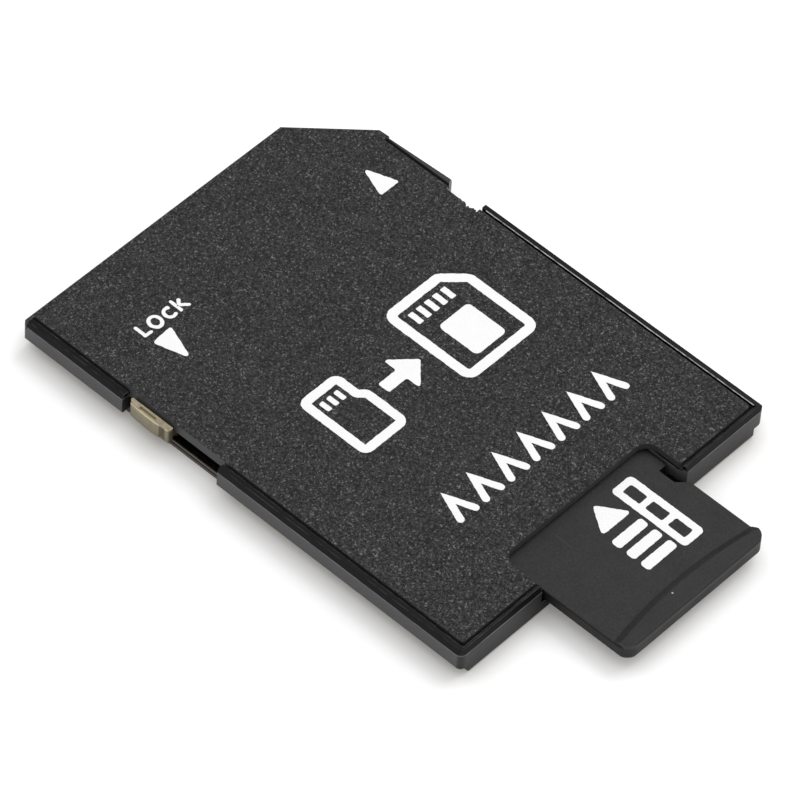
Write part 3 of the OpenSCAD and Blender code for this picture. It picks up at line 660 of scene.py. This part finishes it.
def row_tree():
    """A node tree that repeats a mark along a line."""
    name = "Row of marks"
    if name in bpy.data.node_groups:
        return bpy.data.node_groups[name]
    tree = bpy.data.node_groups.new(name, "GeometryNodeTree")
    face = tree.interface
    face.new_socket("Mark", in_out="INPUT", socket_type="NodeSocketGeometry")
    face.new_socket("Count", in_out="INPUT", socket_type="NodeSocketInt")
    face.new_socket("Step", in_out="INPUT", socket_type="NodeSocketVector")
    face.new_socket("Ink", in_out="INPUT", socket_type="NodeSocketMaterial")
    face.new_socket("Marks", in_out="OUTPUT", socket_type="NodeSocketGeometry")
    inputs = tree.nodes.new("NodeGroupInput")
    line = tree.nodes.new("GeometryNodeMeshLine")
    line.mode = "OFFSET"
    copies = tree.nodes.new("GeometryNodeInstanceOnPoints")
    real = tree.nodes.new("GeometryNodeRealizeInstances")
    inked = tree.nodes.new("GeometryNodeSetMaterial")
    outputs = tree.nodes.new("NodeGroupOutput")
    for index, made in enumerate((inputs, line, copies, real, inked, outputs)):
        made.location = (220 * index, 0)
    for start, end in (
        (inputs.outputs["Count"], line.inputs["Count"]),
        (inputs.outputs["Step"], line.inputs["Offset"]),
        (line.outputs["Mesh"], copies.inputs["Points"]),
        (inputs.outputs["Mark"], copies.inputs["Instance"]),
        (copies.outputs["Instances"], real.inputs["Geometry"]),
        (real.outputs["Geometry"], inked.inputs["Geometry"]),
        (inputs.outputs["Ink"], inked.inputs["Material"]),
        (inked.outputs["Geometry"], outputs.inputs["Marks"]),
    ):
        tree.links.new(start, end)
    return tree


def in_a_row(piece, count, step, material, body):
    """Repeats a piece's mesh along a line and makes the row plain mesh."""
    tree = row_tree()
    row = piece.modifiers.new("Row", "NODES")
    row.node_group = tree
    named = {item.name: item.identifier for item in tree.interface.items_tree if item.in_out == "INPUT"}
    row[named["Count"]] = count
    row[named["Step"]] = [part * MM for part in step]
    row[named["Ink"]] = material
    graph = bpy.context.evaluated_depsgraph_get()
    result = bpy.data.meshes.new_from_object(piece.evaluated_get(graph))
    result.name = piece.name
    piece.modifiers.remove(row)
    piece.data = result
    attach(piece, body)
    return piece


def ink_material(context):
    """The print's one material, made the first time it is asked for."""
    return bpy.data.materials.get("white_ink") or white_ink(context.scene.card_finishes)


# Operators, one for each piece or group of like pieces

class CARD_OT_dress_adapter(bpy.types.Operator):
    """Give the adapter's moulded parts their plastics"""
    bl_idname = "card.dress_adapter"
    bl_label = "Adapter plastics"

    def execute(self, context):
        finishes = context.scene.card_finishes
        dress("upper_cover", spark_textured_plastic(finishes))
        dress("lower_shell", moulded_plastic("tray_plastic", finishes.shell, 0.3, (BEVEL_FOOT,)))
        dress("contact_carrier", moulded_plastic("carrier_plastic", finishes.carrier, 0.35))
        return {"FINISHED"}


class CARD_OT_add_burr(bpy.types.Operator):
    """Add the feather edge along the inside of the right rim, coloured light as a painted highlight"""
    bl_idname = "card.add_burr"
    bl_label = "Rim burr highlight"

    def execute(self, context):
        start, end = BURR_ENDS
        root = RIM_INSIDE + 0.002
        rows = []
        for step in range(BURR_STEPS + 1):
            y = start + (end - start) * step / BURR_STEPS
            width = BURR_WIDTH + BURR_STRAY * noise.noise(Vector((y * 2.3, 0, 0)))
            rows.append([
                (root, y, COVER_TOP - 0.002), (root, y, COVER_TOP - 0.03),
                (RIM_INSIDE - width, y, COVER_TOP - 0.008),
            ])
        points = [tuple(part * MM for part in point) for row in rows for point in row]
        faces = [(0, 1, 2), tuple(3 * BURR_STEPS + index for index in (2, 1, 0))]
        for step in range(BURR_STEPS):
            for side in range(3):
                first, second = 3 * step + side, 3 * step + (side + 1) % 3
                faces.append((first, first + 3, second + 3, second))
        data = bpy.data.meshes.new("rim_burr_highlight")
        data.from_pydata(points, [], faces)
        data.materials.append(burr_highlight_plastic())
        piece = bpy.data.objects.new("rim_burr_highlight", data)
        context.scene.collection.objects.link(piece)
        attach(piece, "adapter")
        return {"FINISHED"}


class CARD_OT_dress_lock(bpy.types.Operator):
    """Give the lock slider its beige plastic"""
    bl_idname = "card.dress_lock"
    bl_label = "Lock plastic"

    def execute(self, context):
        dress("lock_slider", slider_plastic(context.scene.card_finishes))
        return {"FINISHED"}


class CARD_OT_dress_contacts(bpy.types.Operator):
    """Give the stamped contacts and the small card's pads their plating"""
    bl_idname = "card.dress_contacts"
    bl_label = "Contact plating"

    def execute(self, context):
        finishes = context.scene.card_finishes
        strip = gold_plating("strip_gold", finishes)
        pad = gold_plating("pad_gold", finishes, (1.0, 0.3, 1.0))
        for node in CONTACTS:
            dress(node, strip)
        for node in CARD_PADS:
            dress(node, pad)
        return {"FINISHED"}


class CARD_OT_dress_small_card(bpy.types.Operator):
    """Give the small card its moulding compound"""
    bl_idname = "card.dress_small_card"
    bl_label = "Small card plastic"

    def execute(self, context):
        dress("card_body", card_plastic(context.scene.card_finishes))
        return {"FINISHED"}


class CARD_OT_print_lock_mark(bpy.types.Operator):
    """Print the word and the triangle beside the lock"""
    bl_idname = "card.print_lock_mark"
    bl_label = "Lock mark"

    def execute(self, context):
        sizes = context.scene.card_print
        ink = ink_material(context)
        pen = sizes.stroke / MM
        x, y = LOCK_WORD_PLACE
        letter_l = stroke([(x, y + 0.85), (x, y + 0.12), (x + 0.42, y + 0.08)], pen)
        letter_o = band(arc((x + 1.08, y + 0.42), 0.35, 0.4, 0, 342), pen)
        letter_c = stroke(arc((x + 2.11, y + 0.35), 0.33, 0.34, 60, 300), pen)
        stem = stroke([(x + 2.68, y + 0.04), (x + 2.68, y + 0.83)], pen)
        arms = stroke([(x + 3.08, y + 0.63), (x + 2.84, y + 0.38), (x + 3.26, y)], pen)
        shapes = [[letter_l], letter_o, [letter_c], [stem], [arms]]
        printed("print_lock_word", shapes, COVER_TOP, sizes, ink, "adapter")
        triangle = softened(LOCK_TRIANGLE, 0.14)
        printed("print_lock_triangle", [[triangle]], COVER_TOP, sizes, ink, "adapter")
        return {"FINISHED"}


class CARD_OT_print_insertion_mark(bpy.types.Operator):
    """Print the triangle that points to the contact edge"""
    bl_idname = "card.print_insertion_mark"
    bl_label = "Insertion mark"

    def execute(self, context):
        sizes = context.scene.card_print
        triangle = softened(INSERTION_TRIANGLE, 0.12)
        printed(
            "print_insertion_triangle", [[triangle]], COVER_TOP, sizes,
            ink_material(context), "adapter")
        return {"FINISHED"}


class CARD_OT_print_pictogram(bpy.types.Operator):
    """Print the pictogram of a small card that goes into an adapter"""
    bl_idname = "card.print_pictogram"
    bl_label = "Pictogram"

    def execute(self, context):
        sizes = context.scene.card_print
        ink = ink_material(context)
        small = band(softened(SMALL_OUTLINE, 0.3), 0.56)
        arrow = softened(ARROW, 0.12)
        large = band(softened(LARGE_OUTLINE, 0.45), 0.6)
        block = box(3.55, -2.8, 5.95, 0.05, 0.3)
        printed(
            "print_pictogram", [small, [arrow], large, [block]], COVER_TOP, sizes, ink, "adapter")
        pad = printed(
            "print_pictogram_pads", [[box(2.95, 0.85, 3.33, 1.75, 0.08)]],
            COVER_TOP, sizes, ink, None)
        in_a_row(pad, 5, (0.64, 0, 0), ink, "adapter")
        pad = printed(
            "print_pictogram_small_pads", [[box(-4.98, 0.1, -4.66, 0.82, 0.08)]],
            COVER_TOP, sizes, ink, None)
        in_a_row(pad, 3, (0.56, 0, 0), ink, "adapter")
        return {"FINISHED"}


class CARD_OT_print_chevrons(bpy.types.Operator):
    """Print the row of chevrons that point to the contact edge"""
    bl_idname = "card.print_chevrons"
    bl_label = "Chevrons"

    def execute(self, context):
        sizes = context.scene.card_print
        ink = ink_material(context)
        mark = stroke(CHEVRON, CHEVRON_STROKE)
        row = printed("print_chevrons", [[mark]], COVER_TOP, sizes, ink, None)
        in_a_row(row, sizes.chevrons, (sizes.chevron_pitch / MM, 0, 0), ink, "adapter")
        return {"FINISHED"}


class CARD_OT_print_small_card(bpy.types.Operator):
    """Print the ladder, the triangle and the bars on the small card"""
    bl_idname = "card.print_small_card"
    bl_label = "Small card print"

    def execute(self, context):
        sizes = context.scene.card_print
        ink = ink_material(context)
        ladder = [box(1.95, -19.2, 3.55, -13.9, 0.28)]
        for top in RUNGS:
            ladder.append(box(2.4, top - RUNG_HEIGHT, 3.1, top, 0.12))
        triangle = softened(CARD_TRIANGLE, 0.15)
        printed(
            "print_small_card", [ladder, [triangle]], CARD_TOP, sizes, ink, "small_card")
        bar = printed(
            "print_small_card_bars", [[box(-0.6, -16.85, 1.75, -16.2, 0.2)]],
            CARD_TOP, sizes, ink, None)
        in_a_row(bar, 3, (0, -1.02, 0), ink, "small_card")
        return {"FINISHED"}


class CARD_OT_set_studio(bpy.types.Operator):
    """Set up the floor, the white surround, the lamps and the camera"""
    bl_idname = "card.set_studio"
    bl_label = "Studio"

    def execute(self, context):
        studio = context.scene.card_studio
        self.floor(context, studio)
        self.surround(context, studio)
        self.lamps(context, studio)
        self.camera(context, studio)
        context.scene.view_settings.view_transform = "Standard"
        return {"FINISHED"}

    def floor(self, context, studio):
        half = studio.floor / 2
        data = bpy.data.meshes.new("floor")
        level = -FLOOR_DROP * MM
        data.from_pydata(
            [(-half, -half, level), (half, -half, level), (half, half, level), (-half, half, level)],
            [], [(0, 1, 2, 3)])
        floor = bpy.data.objects.new("floor", data)
        context.scene.collection.objects.link(floor)
        material = bpy.data.materials.new("white_table")
        material.use_nodes = True
        tree = material.node_tree
        surface = tree.nodes["Principled BSDF"]
        # Painted contact shadow: ambient occlusion darkens the floor's colour near the part's edges
        near = tree.nodes.new("ShaderNodeAmbientOcclusion")
        near.inputs["Distance"].default_value = studio.contact_reach
        contact = tree.nodes.new("ShaderNodeMix")
        contact.data_type = "RGBA"
        contact.inputs[MIX_FIRST].default_value = FLOOR_CONTACT_SHADOW
        contact.inputs[MIX_SECOND].default_value = FLOOR_WHITE
        tree.links.new(near.outputs["AO"], contact.inputs[MIX_SHARE])
        tree.links.new(contact.outputs[MIX_RESULT], surface.inputs["Base Color"])
        surface.inputs["Roughness"].default_value = 0.6
        surface.inputs["Specular IOR Level"].default_value = 0.2
        tree.links.new(contact.outputs[MIX_RESULT], surface.inputs["Emission Color"])
        path = tree.nodes.new("ShaderNodeLightPath")
        lift = tree.nodes.new("ShaderNodeMath")
        lift.operation = "MULTIPLY"
        lift.inputs[1].default_value = studio.lift
        tree.links.new(path.outputs["Is Camera Ray"], lift.inputs[0])
        tree.links.new(lift.outputs[0], surface.inputs["Emission Strength"])
        data.materials.append(material)

    def surround(self, context, studio):
        """White to the camera, the ceiling's level to glossy rays, and its own to all others."""
        world = bpy.data.worlds.new("white_surround")
        world.use_nodes = True
        context.scene.world = world
        tree = world.node_tree
        background = tree.nodes["Background"]
        background.inputs["Color"].default_value = (1, 1, 1, 1)
        path = tree.nodes.new("ShaderNodeLightPath")
        level = tree.nodes.new("ShaderNodeMapRange")
        level.inputs["To Min"].default_value = studio.surround
        level.inputs["To Max"].default_value = 1.0
        tree.links.new(path.outputs["Is Camera Ray"], level.inputs["Value"])
        glossy = tree.nodes.new("ShaderNodeMapRange")
        glossy.inputs["To Min"].default_value = studio.surround
        glossy.inputs["To Max"].default_value = studio.ceiling
        tree.links.new(path.outputs["Is Glossy Ray"], glossy.inputs["Value"])
        tree.links.new(glossy.outputs[0], level.inputs["To Min"])
        tree.links.new(level.outputs[0], background.inputs["Strength"])

    def lamps(self, context, studio):
        for name, place, side, share in LAMPS:
            data = bpy.data.lights.new(name, "AREA")
            data.shape = "SQUARE"
            data.size = side
            data.energy = studio.key * share
            lamp = bpy.data.objects.new(name, data)
            spot = Vector(place)
            lamp.matrix_world = (
                Matrix.Translation(spot) @ (-spot).to_track_quat("-Z", "Y").to_matrix().to_4x4())
            context.scene.collection.objects.link(lamp)

    def camera(self, context, studio):
        data = bpy.data.cameras.new("camera")
        data.lens = studio.lens
        data.sensor_width = 36.0
        data.clip_start = 0.01
        data.clip_end = 20.0
        camera = bpy.data.objects.new("camera", data)
        place = Vector(studio.camera_place)
        look = (Vector(studio.camera_aim) - place).to_track_quat("-Z", "Y").to_matrix().to_4x4()
        roll = Matrix.Rotation(studio.camera_roll, 4, "Z")
        camera.matrix_world = Matrix.Translation(place) @ look @ roll
        context.scene.collection.objects.link(camera)
        context.scene.camera = camera


OPERATORS = (
    CARD_OT_dress_adapter,
    CARD_OT_add_burr,
    CARD_OT_dress_lock,
    CARD_OT_dress_contacts,
    CARD_OT_dress_small_card,
    CARD_OT_print_lock_mark,
    CARD_OT_print_insertion_mark,
    CARD_OT_print_pictogram,
    CARD_OT_print_chevrons,
    CARD_OT_print_small_card,
    CARD_OT_set_studio,
)


class CARD_PT_sidebar(bpy.types.Panel):
    """Lists the finishes, the print sizes, the studio and the operators"""
    bl_idname = "CARD_PT_sidebar"
    bl_label = "Memory card adapter"
    bl_space_type = "VIEW_3D"
    bl_region_type = "UI"
    bl_category = "Card"

    def draw(self, context):
        for group in (
            context.scene.card_finishes, context.scene.card_print, context.scene.card_studio,
        ):
            column = self.layout.column()
            for name in group.__annotations__:
                column.prop(group, name)
        for operator in OPERATORS:
            self.layout.operator(operator.bl_idname)


CLASSES = (Finishes, PrintSizes, Studio, *OPERATORS, CARD_PT_sidebar)


def register():
    for made in CLASSES:
        bpy.utils.register_class(made)
    bpy.types.Scene.card_finishes = PointerProperty(type=Finishes)
    bpy.types.Scene.card_print = PointerProperty(type=PrintSizes)
    bpy.types.Scene.card_studio = PointerProperty(type=Studio)


def unregister():
    del bpy.types.Scene.card_studio
    del bpy.types.Scene.card_print
    del bpy.types.Scene.card_finishes
    for made in reversed(CLASSES):
        bpy.utils.unregister_class(made)


def main():
    register()
    for operator in OPERATORS:
        group, name = operator.bl_idname.split(".")
        getattr(getattr(bpy.ops, group), name)()


if __name__ == "__main__":
    main()
